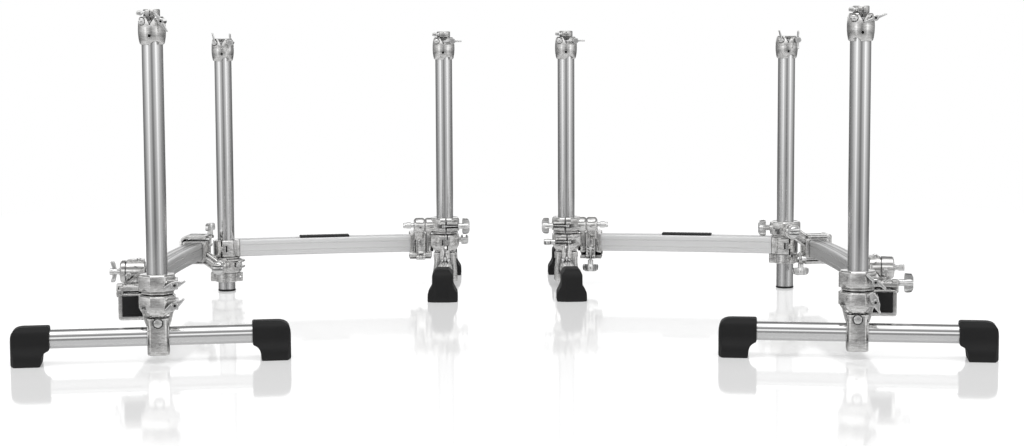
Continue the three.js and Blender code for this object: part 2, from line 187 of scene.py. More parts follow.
def rod(radius, low, high, ease=0, sides=SMALL):
    if not ease:
        return turned([(radius, low), (radius, high)], sides)
    inner = radius - ease
    return turned([(inner, low), (radius, low + ease), (radius, high - ease), (inner, high)], sides)


def groove(radius, low, high):
    """Cutter for a groove round a rod, from its radius outwards."""
    far = radius * 1.6
    return turned([(radius, low), (far, low), (far, high), (radius, high)], closed=True)


def block(x0, x1, y0, y1, z0, z1, ease=0, steps=2):
    bpy.ops.mesh.primitive_cube_add(size=1, location=((x0 + x1) / 2, (y0 + y1) / 2, (z0 + z1) / 2),
                                    scale=(x1 - x0, y1 - y0, z1 - z0))
    settle()
    if ease:
        open_edit()
        bpy.ops.mesh.bevel(offset=ease, segments=steps, affect="EDGES")
        close_edit()
    return bpy.context.object


def stacked(outline, levels):
    """An outline in X and Y raised through levels of [height, share of X, share of Y]."""
    bpy.ops.mesh.primitive_circle_add(vertices=len(outline), fill_type="NGON")
    height, wide, deep = levels[0]
    for vertex, (x, y) in zip(bpy.context.object.data.vertices, outline):
        vertex.co = (x * wide, y * deep, height)
    open_edit()
    for higher, wider, deeper in levels[1:]:
        lift_ring(higher - height, wider / wide, deeper / deep)
        height, wide, deep = higher, wider, deeper
    return close_edit()


def raised(outline, low, high, ease=0, steps=2):
    piece = stacked(outline, [(low, 1, 1), (high, 1, 1)])
    return eased(piece, ease, steps, 30) if ease else piece


def standing(outline, near, far, *ease):
    """An outline in X and Z with its thickness from near to far along Y."""
    return to_front(raised(outline, -far, -near, *ease))


def softened(corners, reaches, steps=5):
    """An outline whose corners become curves that start a reach away from them."""
    points = []
    for at, reach in enumerate(reaches):
        corner = Vector(corners[at])
        if not reach:
            points.append(tuple(corner))
            continue
        before = corner + (Vector(corners[at - 1]) - corner).normalized() * reach
        after = corner + (Vector(corners[(at + 1) % len(corners)]) - corner).normalized() * reach
        for step in range(steps + 1):
            share = step / steps
            points.append(tuple(before.lerp(corner, share).lerp(corner.lerp(after, share), share)))
    return points


def curved(corners, reaches, near, far, *ease):
    """A standing outline with softened corners."""
    return standing(softened(corners, reaches), near, far, *ease)


def panel(half, low, high, reach, near, far, *ease):
    """A standing rectangle with rounded corners, so wide to either side."""
    corners = [(-half, low), (half, low), (half, high), (-half, high)]
    return curved(corners, [reach] * 4, near, far, *ease)


def turn_piece(piece, axis, angle):
    piece.data.transform(swung(axis, angle))
    return piece


def move_piece(piece, x=0, y=0, z=0):
    piece.data.transform(shift(x, y, z))
    return piece


def along_x(piece):
    return turn_piece(piece, "Y", 90)


def along_y(piece):
    return turn_piece(piece, "X", -90)


def to_front(piece):
    """Lays a piece down with its top towards -Y."""
    return turn_piece(piece, "X", 90)


def hub_of(points):
    """Small turned form with its top towards -Y."""
    return to_front(turned(points, SMALL))


def pin(radius, near, far, x=0, z=0, ease=0, sides=SMALL):
    """Rod on Y at a place in X and Z."""
    return move_piece(along_y(rod(radius, near, far, ease, sides)), x=x, z=z)


def shape_with(piece, kind, **settings):
    modifier = piece.modifiers.new(kind, kind)
    for name, value in settings.items():
        setattr(modifier, name, value)
    activate(piece)
    bpy.ops.object.modifier_apply(modifier=modifier.name)
    return piece


def boolean(piece, tool, operation):
    shape_with(piece, "BOOLEAN", operation=operation, object=tool, solver="MANIFOLD")
    bpy.data.objects.remove(tool)
    return piece


def cut(piece, *tools):
    for tool in tools:
        boolean(piece, tool, "DIFFERENCE")
    return piece


def joined(piece, *others):
    for other in others:
        boolean(piece, other, "UNION")
    return piece


def eased(piece, width, steps=2, angle=20):
    return shape_with(piece, "BEVEL", width=width, segments=steps, limit_method="ANGLE",
                      angle_limit=radians(angle))


def shape(smooth=35):
    """Makes a function give its piece's mesh, smoothed below an angle and built once for each size."""
    def keep(build):
        made = {}

        def mesh(*sizes):
            if sizes not in made:
                piece = activate(build(*sizes))
                bpy.ops.object.shade_smooth_by_angle(angle=radians(smooth))
                made[sizes] = piece.data
                bpy.data.objects.remove(piece)
            return made[sizes]
        return mesh
    return keep


# Shader values and materials

class Value:
    """A shader value: sums, differences and products of it add Math nodes."""

    def __init__(self, tree, socket):
        self.tree = tree
        self.socket = socket

    def __add__(self, other):
        return self.tree.math("ADD", self, other)

    def __sub__(self, other):
        return self.tree.math("SUBTRACT", self, other)

    def __rsub__(self, other):
        return self.tree.math("SUBTRACT", other, self)

    def __mul__(self, other):
        return self.tree.math("MULTIPLY", self, other)

    __radd__ = __add__
    __rmul__ = __mul__


class Tree:
    """A node tree, whose nodes are made from a type, its inputs and its settings."""

    def __init__(self, tree):
        self.tree = tree

    def set(self, node, inputs):
        for name, value in inputs.items():
            if isinstance(value, Value):
                self.tree.links.new(value.socket, node.inputs[name])
            else:
                node.inputs[name].default_value = value

    def node(self, kind, inputs=None, output=0, **settings):
        node = self.tree.nodes.new("ShaderNode" + kind)
        for name, value in settings.items():
            setattr(node, name, value)
        self.set(node, inputs or {})
        return Value(self, node.outputs[output])

    def math(self, operation, first, second):
        return self.node("Math", {0: first, 1: second}, operation=operation)

    def mix(self, factor, first, second, **settings):
        """A colour between two colours, each a shader value or three numbers."""
        first, second = (shade if isinstance(shade, Value) else (*shade, 1) for shade in (first, second))
        return self.node("Mix", {"Factor": factor, 6: first, 7: second}, 2, data_type="RGBA", **settings)

    def clamp(self, value, low, high):
        """A value's stretch from low to high, drawn out to 0 to 1."""
        return self.node("MapRange", {"Value": value, "From Min": low, "From Max": high})

    def part(self, vector, axis):
        return self.node("SeparateXYZ", {"Vector": vector}, axis)

    def ramp(self, value, bands):
        """Greys along a value, from stops of [place, shade]."""
        node = self.tree.nodes.new("ShaderNodeValToRGB")
        elements = node.color_ramp.elements
        for place, _ in bands[2:]:
            elements.new(place)
        for element, (place, shade) in zip(elements, sorted(bands)):
            element.position = place
            element.color = (shade, shade, shade, 1)
        self.set(node, {"Fac": value})
        return Value(self, node.outputs[0])


class Finish(Tree):
    """A material, and the name of the slot it belongs to, which the script stores but does not use."""

    def __init__(self, name, slot, roughness, metallic, **constants):
        self.slot = slot
        self.material = bpy.data.materials.new(name)
        self.material.use_nodes = True
        super().__init__(self.material.node_tree)
        self.shader = self.tree.nodes["Principled BSDF"]
        self.set(self.shader, {"Roughness": roughness, "Metallic": metallic, **constants})
        self.place = self.node("TexCoord", output="Object")

    def noise(self, scale, detail=2, stretch=(1, 1, 1), spot=None):
        """Noise with so many swells in a metre, drawn out along the axes with a small stretch."""
        spot = self.node("Mapping", {"Vector": spot or self.place, "Scale": stretch})
        return self.node("TexNoise", {"Vector": spot, "Scale": scale, "Detail": detail})

    def bump(self, height, depth, strength, **normal):
        return self.node("Bump", {"Height": height, "Distance": depth, "Strength": strength, **normal})

    def rounded(self, radius):
        return self.node("Bevel", {"Radius": radius}, samples=4)

    def true_normal(self):
        return self.node("NewGeometry", output="Normal")

    def edges(self, radius):
        """0 on flat faces, towards 1 on edges, from how far a rounded normal leans away."""
        normals = {0: self.rounded(radius), 1: self.true_normal()}
        return self.clamp(1 - self.node("VectorMath", normals, "Value", operation="DOT_PRODUCT"), 0, 0.2)

    def shaded(self, tone, distance):
        """A colour with painted shade, which turns it dark in slots and corners."""
        openness = self.node("AmbientOcclusion", {"Distance": distance}, "AO", samples=4)
        return self.mix(self.clamp(openness, 0.2, 0.8), (0.03, 0.03, 0.03), tone)

    def height(self):
        return self.part(self.place, "Z")

    def paint(self, **inputs):
        self.set(self.shader, {name.replace("_", " "): value for name, value in inputs.items()})
        return self


def chrome_finish():
    finish = Finish("polished_chrome", "chrome", 0.07, 1)
    haze = finish.noise(9, 3)
    fine = finish.noise(300)
    # Its base colour carries painted shade where other parts come within 4 mm.
    return finish.paint(
        Base_Color=finish.shaded(finish.mix(haze, (0.82, 0.82, 0.825), (0.9, 0.9, 0.9)), 0.004),
        Roughness=0.05 + haze * 0.06 + fine * 0.03,
        Normal=finish.bump(fine, 0.00002, 0.2),
    )


def casting_finish():
    """Polished zinc: cloudy, with level polishing lines, bright on its edges, and with painted shade that
    darkens its corners.
    """
    finish = Finish("polished_casting", "casting", 0.15, 0.9)
    cloud = finish.noise(30, 4)
    swell = finish.noise(90)
    lines = finish.noise(1500, stretch=(0.1, 0.1, 1))
    streaks = finish.noise(330, stretch=(0.3, 0.3, 1))
    worn = finish.edges(0.0008)
    mottle = finish.clamp(cloud * 0.3 + streaks * 0.55 + lines * 0.15, 0.36, 0.6)
    tone = finish.mix(mottle + worn * 0.3, (0.62, 0.615, 0.605), (1, 0.995, 0.985))
    return finish.paint(
        Base_Color=finish.shaded(tone, 0.012),
        Roughness=0.03 + cloud * 0.08 + lines * 0.06 - worn * 0.02,
        Normal=finish.bump(swell * 0.8 + lines * 0.2, 0.0009, 0.2, Normal=finish.rounded(0.0006)),
    )


def steel_finish():
    finish = Finish("plated_steel", "chrome", 0.14, 0.9)
    cloud = finish.noise(70, 3)
    # Its base colour carries painted shade in slots and corners, within 6 mm.
    return finish.paint(
        Base_Color=finish.shaded(finish.mix(cloud, (0.86, 0.86, 0.855), (0.99, 0.99, 0.985)), 0.006),
        Roughness=0.06 + cloud * 0.16,
        Normal=finish.rounded(0.0004),
    )


def bar_finish(name, bend_centre, metallic, brightest, plain):
    """Extruded aluminium: its draw lines keep their distance from the bar's bend centre, and faces turned up
    get a painted highlight.
    """
    finish = Finish(name, "bar_aluminium", 0.3, metallic)
    plan = finish.node("VectorMath", {0: finish.place, 1: (1, 1, 0)}, operation="MULTIPLY")
    reach = finish.node("VectorMath", {0: plan, 1: (*bend_centre, 0)}, "Value", operation="DISTANCE")
    across = finish.node("CombineXYZ", {"X": reach, "Y": finish.height()})
    lines = finish.noise(520, 3, spot=across)
    bands = finish.noise(130, 1, spot=across)
    cloud = finish.noise(12, 3)
    top = finish.clamp(finish.part(finish.true_normal(), "Z"), 0.6, 0.9)
    stripes = finish.clamp(bands, 0.53, 0.47) * top
    # top * 0.25 paints a highlight on faces turned up; the dark stripes fall only on those faces.
    brightness = plain + lines * 0.32 + top * 0.25 - stripes * 0.8
    return finish.paint(
        Base_Color=finish.mix(brightness, (0.3, 0.3, 0.305), (brightest, brightest, brightest)),
        Roughness=0.2 + cloud * 0.1 + lines * 0.12,
        Normal=finish.bump(lines * 0.6 + bands * 0.4, 0.00025, 0.5),
    )


def rubber_finish():
    """Moulded rubber, paler on its edges and dusty where it meets the floor."""
    finish = Finish("moulded_rubber", "foot_rubber", 0.6, 0, **{"Specular IOR Level": 0.35})
    pebble = finish.noise(900, 3)
    cloud = finish.noise(25, 3)
    dust = finish.clamp(finish.height() + cloud * 0.01, 0.016, 0.002)
    paleness = dust * 0.35 + cloud * 0.25 + finish.edges(0.0015) * 0.4
    return finish.paint(
        Base_Color=finish.mix(paleness, (0.007, 0.007, 0.0075), (0.042, 0.042, 0.042)),
        Roughness=0.48 + cloud * 0.2 + dust * 0.15,
        Normal=finish.bump(pebble, 0.0002, 0.35),
    )


def plastic_finish():
    finish = Finish("black_plastic", "black_plastic", 0.48, 0, **{"Specular IOR Level": 0.35})
    texture = finish.noise(1300)
    paleness = texture * 0.3 + finish.edges(0.0006) * 0.7
    return finish.paint(
        Base_Color=finish.mix(paleness, (0.010, 0.010, 0.0105), (0.035, 0.035, 0.036)),
        Roughness=0.42 + texture * 0.2,
        Normal=finish.bump(texture, 0.00012, 0.4),
    )


CHROME = chrome_finish()
CASTING = casting_finish()
STEEL = steel_finish()
RUBBER = rubber_finish()
PLASTIC = plastic_finish()

# The bars' aluminium: how metallic it is, its brightest shade, and its plain brightness all over, under the
# painted highlight on upward faces
BAR_LOOKS = {"side": (0.9, 0.97, 0.5), "front": (0.25, 0.99, 0.72)}


# Small hardware, each on Y with its seat at the origin and its free end towards -Y, unless it says otherwise

@shape()
def wing_nut(collar):
    """Nut with two upswept wings, on a collar that reaches behind its seat."""
    hub = hub_of([(5.8, -collar), (6.4, 0.6 - collar), (6.4, 2.2), (5.2, 4), (5.2, 13), (6.4, 16),
                  (6.4, 19.5), (5.6, 20.3)])
    wings = raised(softened([(-20.5, -19.5), (-20.5, -10), (-6, -7), (6, -7), (20.5, -10), (20.5, -19.5),
                             (6, -15), (-6, -15)], [4, 4, 2, 2, 4, 4, 3, 3]), -1.9, 1.9, 1.1, 3)
    return cut(joined(hub, wings), pin(2.5, -17, 5))


@shape()
def lever_nut():
    """Nut with one long and one short wing, swept like a flat S."""
    hub = hub_of([(5.6, 0), (6.3, 0.7), (6.3, 10.8), (5.6, 11.5)])
    blade = curved([(-21, 5.5), (-20, 9.5), (-5, 5), (6, 5), (22, -3.5), (21, -7.5), (6, -2.5), (-5, -1.5)],
                   [2, 2, 5, 6, 2, 2, 6, 5], -10.5, -1.5, 1.4, 3)
    return cut(joined(hub, blade), pin(2.5, -20, -6))


@shape()
def bar_nut():
    """Nut with a straight thin lever across its end and a deep threaded hole."""
    hub = hub_of([(5, 0), (5.6, 0.7), (5.6, 18.2), (4.8, 19)])
    lever = curved([(-21.5, -1.4), (-21.5, 1.4), (-5, 3), (5, 3), (21.5, 1.4), (21.5, -1.4), (5, -3),
                    (-5, -3)], [1, 1, 3, 3, 1, 1, 3, 3], -18.4, -13, 0.9, 3)
    return cut(joined(hub, lever), pin(2.2, -30, -3))


@shape()
def plate_nut():
    """Nut with broad flat wings, widest round its hub."""
    plate = curved([(-20, -4.5), (-19, 3), (-6, 7), (6, 7), (15, 2.5), (20.5, 4), (21.5, 0.5), (8, -5),
                    (-6, -8)], [2.5, 2.5, 4, 4, 3, 1.5, 1.5, 4, 4], -9, -5, 1.2, 3)
    hub = hub_of([(6, 0), (6.6, 0.7), (6.6, 9.5), (5.6, 11)])
    return cut(joined(plate, hub), pin(BOLT_RADIUS, -30, -2))


@shape()
def paddle_nut():
    """Large nut whose two wings make one rounded paddle with a band at each end; its seat is at 10 on Y."""
    body = raised(softened([(-18, -4), (-16.5, 0), (16.5, 0), (18, -4), (18, -11), (13, -16.5), (-13, -16.5),
                            (-18, -11)], [3, 3, 3, 3, 4, 5, 5, 4]), -3.6, 3.6, 2.2, 4)
    joined(body, hub_of([(5.4, -PADDLE_SEAT), (6.2, -9.2), (6.2, 1.5), (7.2, 4), (7.2, 12), (5.8, 16.2)]))
    for left, right in ((-12.4, -11), (11, 12.4)):
        cut(body, block(left, right, -20, 5, 2.9, 6), block(left, right, -20, 5, -6, -2.9))
    return body


def threaded(length):
    """Threaded shank whose crests are fine rings."""
    pitch = 1.5
    root = BOLT_RADIUS - 0.35
    points = [(root, 0)]
    for ring in range(int(length / pitch)):
        points += [(BOLT_RADIUS, (ring + 0.35) * pitch), (root, (ring + 0.85) * pitch)]
    return to_front(turned(points + [(root, length)], 20))


@shape()
def swing_bolt(length):
    """Swing bolt: an eye round a pin on Z at the origin, and a threaded shank."""
    eye = joined(rod(4.6, -3.2, 3.2, 0.5), move_piece(threaded(length), y=-3))
    return joined(eye, rod(2, -9, 9, 0.4))


@shape()
def hex_head():
    """Hexagon bolt head with a washer face."""
    head = turned([(5.04, 0), (5.6, 0.4), (5.6, 3.7), (4.816, 4.6)], sides=6)
    return to_front(joined(head, rod(6.16, -0.2, 0.9, 0.3)))


@shape()
def slotted_barrel():
    """Barrel nut on a shank, with a slot across its end."""
    barrel = turned([(6.4, 7), (7.1, 7.8), (7.1, 16), (6.2, 18), (6.2, 24), (5.6, 24.8)], SMALL)
    shank = joined(rod(4.8, -2, 9, 0.4), barrel)
    return to_front(cut(shank, block(-20, 20, -1.2, 1.2, 19.5, 30), rod(BOLT_RADIUS, 14, 30)))


@shape()
def tilt_screw():
    """Large domed screw of a tilter hub, with two parallel slots."""
    dome = turned([(14.4, 0), (15.4, 0.8), (15.4, 2), (13.6, 2.2), (13.6, 4.2), (12.4, 6.4), (9, 8.6),
                   (4.5, 9.6)])
    for offset in (-4.2, 3.2):
        cut(dome, block(-20, 20, offset - 1.4, offset + 1.4, 3.6, 12))
    return to_front(dome)


@shape()
def hinge_pin():
    """Pin on Y with eased ends and a centre mark in each."""
    return cut(pin(2, -24.6, 24.6, ease=0.4), pin(0.8, 24.1, 25.6), pin(0.8, -25.6, -24.1))


# Head of an upright; its top is at the origin

def head_barrel():
    """Bulged barrel that is turned over its foot, waist and rim."""
    waist, foot, rim = 24.9, 21.6, 22.2
    middle = -HEAD_HEIGHT / 2
    points = [(foot - 1.2, -HEAD_HEIGHT), (foot, -HEAD_HEIGHT + 1.2)]
    for step in range(1, 16):
        height = -HEAD_HEIGHT * (1 - step / 16)
        off = abs(height - middle) / -middle
        edge = foot if height < middle else rim
        points.append((waist - (waist - edge) * off ** 2.2, height))
    return turned(points + [(rim, -1.2), (rim - 1.2, 0)])


@shape()
def head_casting(corner, scallop):
    """Split barrel with its socket, hinge boss, bolt lug, notch, scallop and grub-screw hole."""
    barrel = joined(head_barrel(), pin(5.6, -20, 19.5, HEAD_BOSS, HEAD_BOLT, 0.8),
                    pin(5.6, -13, 13, 19.5, HEAD_BOLT, 0.8))
    arc = along_y(turned([(6, -24), (7.4, -24), (7.4, -14), (6, -14)], closed=True))
    cut(barrel,
        rod(TUBE_RADIUS + 0.2, -HEAD_HEIGHT - 5, -HEAD_SHOULDER, sides=ROUND),
        rod(SOCKET, -20, 5, sides=ROUND),
        turned([(SOCKET - 1, -1.8), (SOCKET + 2.5, 1.7)]),
        move_piece(arc, x=HEAD_BOSS, z=HEAD_BOLT),
        standing([(-10, 5), (-8, 0), (-1, -13), (1, -13), (9.5, 0), (11.5, 5)], -30, -13),
        block(-1.2, 1.2, -30, 0, -15, 5),
        pin(2.9, -40, -14, 0.8 if corner else -0.8, HEAD_HOLE),
        pin(9.5, -40, -16, scallop, -51 if corner else -53),
        pin(3.2, -25, -19.2, HEAD_BOSS, HEAD_BOLT))
    return cut(barrel, groove(24.2, -20.8, -19.8)) if corner else barrel


@shape()
def grub_screw():
    """Black grub screw with a hexagon socket, flush in the head's hole."""
    return to_front(cut(rod(2.8, -3, 0.6, 0.3), rod(1.5, -1.2, 2, sides=6)))


@shape()
def head_pin():
    """Domed end of the head's hinge pin."""
    return hub_of([(4.6, 0), (4.6, 1), (3.6, 1.9), (1.4, 2.3)])


@shape()
def head_ear():
    """Thin lever that stands up from a corner head's hinge."""
    return curved([(-1.6, -3), (1.8, -3), (1.4, 8), (-3.2, 22), (-5.6, 21.4), (-2.4, 8)], [1, 1, 4, 1, 1, 4],
                  -6, 6, 0.8)


@shape()
def memory_lock():
    """Split collar over a head, with lugs at its slot; it stands on the origin."""
    ring = turned([(14.2, 0), (15, 0.8), (15, 12.2), (14.2, 13)])
    joined(ring, block(-8.5, 7, -19.5, -8, 0.9, 12.1, 1.3, 3))
    return cut(ring, rod(SOCKET, -5, 20, sides=ROUND), turned([(SOCKET, 11.6), (SOCKET + 2.4, 14)]),
               block(-1.1, 1.1, -30, 0, -5, 20), move_piece(along_x(rod(2.7, -20, 20)), *LOCK_BOLT))


@shape()
def lock_key():
    """Key bolt of a memory lock along X, with a flat key at its far end."""
    key = curved([(-25, -3.2), (-25, 3.2), (-16, 5.2), (-14, 2.4), (-14, -2.4), (-16, -5.2)],
                 [2, 2, 2, 1, 1, 2], -1.3, 1.3, 0.6)
    return joined(along_x(rod(2.4, -17, 8, 0.5)), along_x(rod(3.8, -12.2, -9, 0.5)), key)


# Ring clamps: the open side faces +X, the bolt lies along Y and the hinge is on -X

def clamp_lugs(middle, front):
    """A lug on either side of the split, with its outer corners rounded."""
    lugs = []
    for near, far in ((-front, -SPLIT), (SPLIT, 14)):
        outline = softened([(15, near), (37, near), (37, far), (15, far)], [2, 4, 4, 2])
        lugs.append(raised(outline, middle - 9, middle + 9, 1.2, 3))
    return lugs


def hinge_barrel(middle, half):
    barrel = rod(5, middle - half, middle + half, 0.7)
    for seam in (middle - half / 3, middle + half / 3):
        cut(barrel, groove(4.3, seam - SEAM, seam + SEAM))
    return move_piece(barrel, x=-29.5)


def ring_slots(middle, low, high):
    """Cutters of a ring's split, its bolt slot and its hinge's seam."""
    return (block(15, 60, -SPLIT, SPLIT, low, high),
            block(24.6, 60, -60, 60, middle - BOLT_SLOT, middle + BOLT_SLOT),
            block(-60, -15, -SEAM, SEAM, low, high))


@shape()
def rail_ring(turn, hand):
    """Ring of a rail clamp with the tilter hub on +Y; its open side is turned or flipped first."""
    low, high = -RING_HALF, RING_HALF
    body = eased(flats([(RING_FLAT - 2, high), (RING_FLAT, high - 2.6), (RING_FLAT, low + 6.2),
                        (RING_FLAT - 1.4, low + 5), (27.8, low + 4), (27.8, low + 2.4), (29.4, low + 2),
                        (29.4, low)]), 0.7)
    joined(body, *clamp_lugs(0, 27), hinge_barrel(0, 14))
    turn_piece(cut(body, *ring_slots(0, -30, 30)), "Z", turn)
    if hand < 0:
        body.data.transform(mirror(x=-1))
        body.data.flip_normals()
    hub = along_y(turned([(15.5, 20), (17.4, 24.5), (17.4, 41.4), (16.6, 43.8), (14.8, 45.8)]))
    return cut(joined(body, hub), rod(BORE, -40, 40, sides=FINE))


@shape()
def leg_casting(latch):
    """Split ring of a T leg: a funnel below it ends in two cheeks; a latch replaces the hinge on -X."""
    low, high = LEG_RING_FOOT, LEG_RING_TOP
    body = eased(flats([(23.4, low), (24.4, low + 1), (RING_FLAT, low + 13), (RING_FLAT, high - 3.2),
                        (RING_FLAT - 3.2, high - 0.8), (RING_FLAT - 4, high)]), 0.8)
    tongue = curved([(-21, 66), (0, 64.4), (21, 66), (24, 74), (30, 99), (-30, 99), (-24, 74)],
                    [2, 0, 2, 4, 2, 2, 4], -11, 11, 1)
    joined(body, tongue, *clamp_lugs(LEG_BOLT, 26.5))
    if latch:
        cut(body, block(-40, -12, -7.4, -4.8, 88, 100), block(-40, -12, -7.4, -4.8, 112, 130),
            block(-40, -12, 3, 6, 100, 112), block(-40, -27, -5, 4, 99.6, 100.2),
            block(-40, -27, -5, 4, 111.8, 112.4))
    else:
        joined(body, hinge_barrel(110, 12))
    cut(body, block(-60, 60, -1.1, 1.1, 60, low + 0.5), block(-6, 6, -1.1, 1.1, 60, high + 5))
    low, high = low - 3.5, high + 10
    return cut(body, rod(BORE, low, high, sides=FINE), *ring_slots(LEG_BOLT, low, high),
               pin(5.2, -40, 40, z=PIVOT_HEIGHT))


@shape()
def foot_block():
    """Block that grips the foot tube, its cheeks on the pivot pin at the origin."""
    low, high = 14 - PIVOT_HEIGHT, 82 - PIVOT_HEIGHT
    tube_height = FOOT_TUBE_CENTRE - PIVOT_HEIGHT
    outline = [(19.7, -19.4), (19.7, 19.4), (14.1, 25), (-14.1, 25), (-19.7, 19.4), (-19.7, -19.4),
               (-14.1, -25), (14.1, -25)]
    body = stacked(outline, [(low, 0.93, 1.02), (low + 1.6, 1, 1.1), (low + 24, 1, 1.1), (low + 44, 1, 1),
                             (high - 1.4, 1, 1), (high, 0.94, 0.94)])
    return cut(eased(body, 0.9, angle=25),
               block(-30, 30, -11.3, 11.3, tube_height, high + 5),
               move_piece(along_x(rod(FOOT_TUBE_RADIUS + 0.15, -30, 30, sides=FINE)), z=tube_height),
               pin(9.9, -40, -21.5, sides=ROUND), pin(9.9, 21.5, 40, sides=ROUND), pin(5.2, -40, 40),
               pin(1.5, -40, -25.6, -2.5, -20.5), pin(2.1, -40, -26.2, -2, -38.5))


@shape()
def pivot_pin():
    front = turned([(4, -27.2), (6.6, -26.8), (7.6, -25.8), (7.6, -23.9)])
    return along_y(joined(rod(5, -25, 25.2), front, turned([(7, 24), (7, 25.2), (5.6, 26.4)])))


@shape(40)
def rubber_foot():
    """Moulded foot on the tube's +X end; the origin is on the pivot pin, a pin's height above the sole."""
    tip, inner = FOOT_REACH, FOOT_REACH - 70
    side = softened([(tip, 0), (tip, 71), (inner, 71), (inner, 29), (inner + 13, 24), (inner + 16, 0)],
                    [3, 24, 4, 3, 10, 2], 6)
    half = [(14, 71), (22.5, 61), (23, 35), (32.6, 20), (33, 0)]
    end = softened(half[::-1] + [(-x, z) for x, z in half], [1, 4, 5, 3, 2, 2, 3, 5, 4, 1], 4)
    plan = [(inner - 5, -40), (tip - 9, -40), (tip, -14), (tip, 14), (tip - 9, 40), (inner - 5, 40)]
    body = standing(side, -40, 40)
    boolean(body, turn_piece(standing(end, -tip - 10, -inner + 10), "Z", 90), "INTERSECT")
    boolean(body, raised(plan, -5, 80), "INTERSECT")
    shape_with(body, "REMESH", mode="VOXEL", voxel_size=1.5)
    shape_with(body, "SMOOTH", factor=0.5, iterations=3)
    move_piece(cut(body, block(0, 400, -60, 60, -20, 0.4)), z=-0.4)
    hollow = along_x(rod(FOOT_TUBE_RADIUS + 0.2, inner - 10, tip - 9.5, sides=ROUND))
    return move_piece(cut(body, move_piece(hollow, z=FOOT_TUBE_CENTRE)), z=-PIVOT_HEIGHT)


# Arm and square clamp of a rail clamp; the bar runs along Y, sideways and below the ring

def arm_reach(drop):
    """How far out the arm brings the bar, where the bar is so far below the ring."""
    return sqrt(ARM_LENGTH ** 2 - drop ** 2)


@shape()
def square_frame(drop, low, high, ear):
    """Outer hub disc, leaning arm and the frame round the bar; an ear holds a level swing bolt."""
    lean = degrees(atan2(drop, arm_reach(drop)))
    length = ARM_LENGTH - SQUARE_OUTER + 3
    body = along_y(turned([(14.8, 47), (16.6, 49), (17.4, 51.4), (17.4, 65.6), (16.4, 68.6),
                           (13.6, HUB_END)]))
    arm = block(0, length, 49.5, 69.5, -13, 13, 3.5, 4)
    for middle in (-7.5, 7.5):
        for near, far in ((45, 51.2), (67.8, 75)):
            cut(arm, block(-5, length + 5, near, far, middle - 1.6, middle + 1.6))
    rib = block(6, length, 47.6, 71.4, -4, 4, 2, 3)
    joined(body, turn_piece(arm, "Y", lean), turn_piece(rib, "Y", lean))
    walls = panel(24, low + 2, high - 1.6, 4, -22, 22, 0.6)
    for near, far in ((-FLANGE, -13.5), (13.5, FLANGE)):
        joined(walls, panel(SQUARE_OUTER, low, high, 6, near, far, 1.1, 3))
    if ear:
        joined(walls, block(17, 29.5, -10, 10, 15, 39, 2.5, 3))
        cut(walls, block(10, 40, -3.6, 3.6, 24, 50))
    bar_place = (arm_reach(drop), SQUARE_MIDDLE, -drop)
    joined(body, move_piece(walls, *bar_place))
    window = panel(SQUARE_INNER, -SQUARE_INNER, SQUARE_INNER, 2, -50, 50)
    return cut(body, move_piece(window, *bar_place), pin(6, 60, 80))


# Gates of the square clamps; the origin is on the bar's centre

@shape()
def gate_plate(ear):
    """Flat gate over the frame, with its hinge on -X and a slot for the swing bolt on +X."""
    hinge_x, _, hinge_z = GATE_HINGE
    end = 38 if ear else 27
    plate = curved([(-24, 28.3), (end, 28.3), (end, 35.4), (-22, 35.4), (-27.5, 31)], [1, 1, 2.5, 6, 4],
                   -FLANGE, FLANGE, 1.1, 3)
    joined(plate, pin(6.5, -25.4, 25.4, hinge_x, hinge_z, 0.8))
    for seam in (-8, 8):
        cut(plate, move_piece(along_y(groove(5.9, seam - 0.4, seam + 0.4)), *GATE_HINGE))
    if ear:
        cut(plate, block(27.5, 50, 9, 40, 20, 50), block(27.5, 50, -40, -9, 20, 50))
    return cut(plate, block(28.5 if ear else 2, 50, -3.7, 3.7, 20, 50), pin(2, -40, 40, hinge_x, hinge_z))


@shape()
def gate_hook():
    """Bent gate of a corner clamp: over the outer side and under the bar, hinged at the top."""
    hinge_x, _, hinge_z = HOOK_HINGE
    side = SQUARE_OUTER + 0.5
    hook = curved([(-38, -35.4), (22, -35.4), (33, -27), (33, 24.7), (side, 24.7), (side, -24), (20, -28.3),
                   (-38, -28.3)], [2, 6, 6, 0, 0, 4, 2, 2], -FLANGE, FLANGE, 1)
    leaf = block(-22, 26, -FLANGE, FLANGE, 24.2, 28.6, 1)
    joined(hook, leaf, pin(6.5, -FLANGE, FLANGE, hinge_x, hinge_z, 0.8))
    return cut(hook, block(-50, -27, 9, 40, -50, -20), block(-50, -27, -40, -9, -50, -20),
               block(-50, -28, -3.7, 3.7, -50, -20), pin(2, -40, 40, hinge_x, hinge_z))


@shape()
def strap():
    """Strap down the ring's side of an inner clamp's frame, with hinge knuckles at its foot."""
    plate = joined(block(-29.6, -25, -10.5, 10.5, -30, 27, 1.2, 3), pin(5.5, -10.5, 10.5, -27, -31, 0.8))
    for seam in (-3.6, 3.6):
        cut(plate, move_piece(along_y(groove(4.8, seam - 0.4, seam + 0.4)), x=-27, z=-31))
    return cut(plate, block(-40, -28.8, -6.5, 6.5, -22, 22, 1.5))


# Fittings of the corner upright

@shape()
def bar_ring():
    """Ring whose neck on +Y carries the front bar; the split has a T-shaped slot on -X."""
    half = BAR_HALF - 0.05
    inside = BAR_HALF - BAR_WALL - 0.3
    body = eased(flats([(26.4, -half), (28, -half + 1.6), (28, half - 1.6), (26.4, half)]), 0.6)
    joined(body, block(-half, half, 0, 29, -half, half, 2.4, 3),
           block(-inside, inside, 20, 63, -inside, inside, 2))
    slits = (block(-1.7, 1.7, -40, -10, 6, 40), block(-1.7, 1.7, -40, -10, -40, -6),
             block(-12, -9, -40, -17, -7.5, 7.5), block(-9.5, 0, -40, -20, -6.6, -6),
             block(-9.5, 0, -40, -20, 6, 6.6))
    return cut(body, rod(BORE, -40, 40, sides=FINE), *[turn_piece(slit, "Z", -62) for slit in slits])


